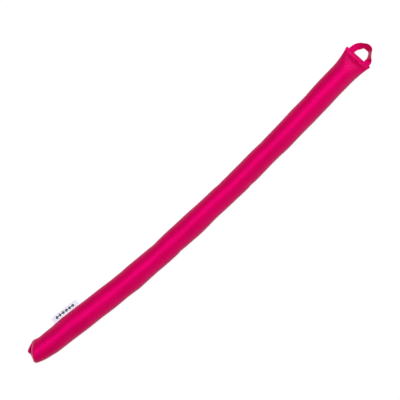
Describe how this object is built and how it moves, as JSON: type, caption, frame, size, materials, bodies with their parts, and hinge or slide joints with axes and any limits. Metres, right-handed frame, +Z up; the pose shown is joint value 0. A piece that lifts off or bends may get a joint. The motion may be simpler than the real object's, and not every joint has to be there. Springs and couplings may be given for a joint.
{
  "type": "rhythmic ribbon wand",
  "caption": "Soft satin-covered wand: a long stuffed tube with a gentle bow, closed at one end and sewn into a flat lip with a tape hanging loop at the other, and a folded side label.",
  "frame": {"origin": "middle of the whole object's footprint, on the surface it lies on", "axes": "+X along the wand towards the hanging loop, +Y to the side that the seam and label are on, +Z up"},
  "size_m": [0.5998, 0.0512, 0.024],
  "materials": {
    "satin": "pink polyester satin",
    "tape": "pink satin-faced tape",
    "fibre": "polyester fibre",
    "woven_label": "white woven damask",
    "thread": "pink polyester thread"
  },
  "bodies": {
    "closed_end": {"fibre_filling_1": "fibre", "closing_stitches": "thread"},
    "section_2": {"fibre_filling_2": "fibre"},
    "section_3": {"fibre_filling_3": "fibre"},
    "middle": {"fibre_filling_4": "fibre", "satin_cover": "satin", "side_seam_thread": "thread"},
    "section_5": {"fibre_filling_5": "fibre"},
    "section_6": {"fibre_filling_6": "fibre"},
    "top_end": {"fibre_filling_7": "fibre", "lip_hem": "satin", "lip_topstitches": "thread", "tape_ends": "tape"},
    "loop": {"hanging_loop": "tape"},
    "label": {"side_label": "woven_label"}
  },
  "joints": [
    {"name": "bend_1", "type": "hinge", "parent": "section_2", "child": "closed_end", "pos_m": [-0.1743, -0.00538, 0.012], "axis": [0, 0, -1], "range_deg": [-20, 20], "stiffness_Nm_per_rad": 0.05, "deforming": ["satin_cover", "side_seam_thread"]},
    {"name": "bend_2", "type": "hinge", "parent": "section_3", "child": "section_2", "pos_m": [-0.09859, -0.00951, 0.012], "axis": [0, 0, -1], "range_deg": [-20, 20], "stiffness_Nm_per_rad": 0.05, "deforming": ["satin_cover", "side_seam_thread"]},
    {"name": "bend_3", "type": "hinge", "parent": "middle", "child": "section_3", "pos_m": [-0.02274, -0.00962, 0.012], "axis": [0, 0, -1], "range_deg": [-20, 20], "stiffness_Nm_per_rad": 0.05, "deforming": ["satin_cover", "side_seam_thread"]},
    {"name": "bend_4", "type": "hinge", "parent": "middle", "child": "section_5", "pos_m": [0.05311, -0.00905, 0.012], "axis": [0, 0, 1], "range_deg": [-20, 20], "stiffness_Nm_per_rad": 0.05, "deforming": ["satin_cover", "side_seam_thread"]},
    {"name": "bend_5", "type": "hinge", "parent": "section_5", "child": "section_6", "pos_m": [0.12892, -0.00666, 0.012], "axis": [0, 0, 1], "range_deg": [-20, 20], "stiffness_Nm_per_rad": 0.05, "deforming": ["satin_cover", "side_seam_thread"]},
    {"name": "bend_6", "type": "hinge", "parent": "section_6", "child": "top_end", "pos_m": [0.20464, -0.00241, 0.012], "axis": [0, 0, 1], "range_deg": [-20, 20], "stiffness_Nm_per_rad": 0.05, "deforming": ["satin_cover", "side_seam_thread"]},
    {"name": "loop_swing", "type": "hinge", "parent": "top_end", "child": "loop", "pos_m": [0.2792, 0.0036, 0.012], "axis": [0.0906, -0.9959, 0], "range_deg": [-30, 110], "stiffness_Nm_per_rad": 0.002},
    {"name": "label_fold", "type": "hinge", "parent": "closed_end", "child": "label", "pos_m": [-0.22748, 0.01652, 0.012], "axis": [0.9956, -0.0941, 0], "range_deg": [-80, 80], "stiffness_Nm_per_rad": 0.001}
  ]
}
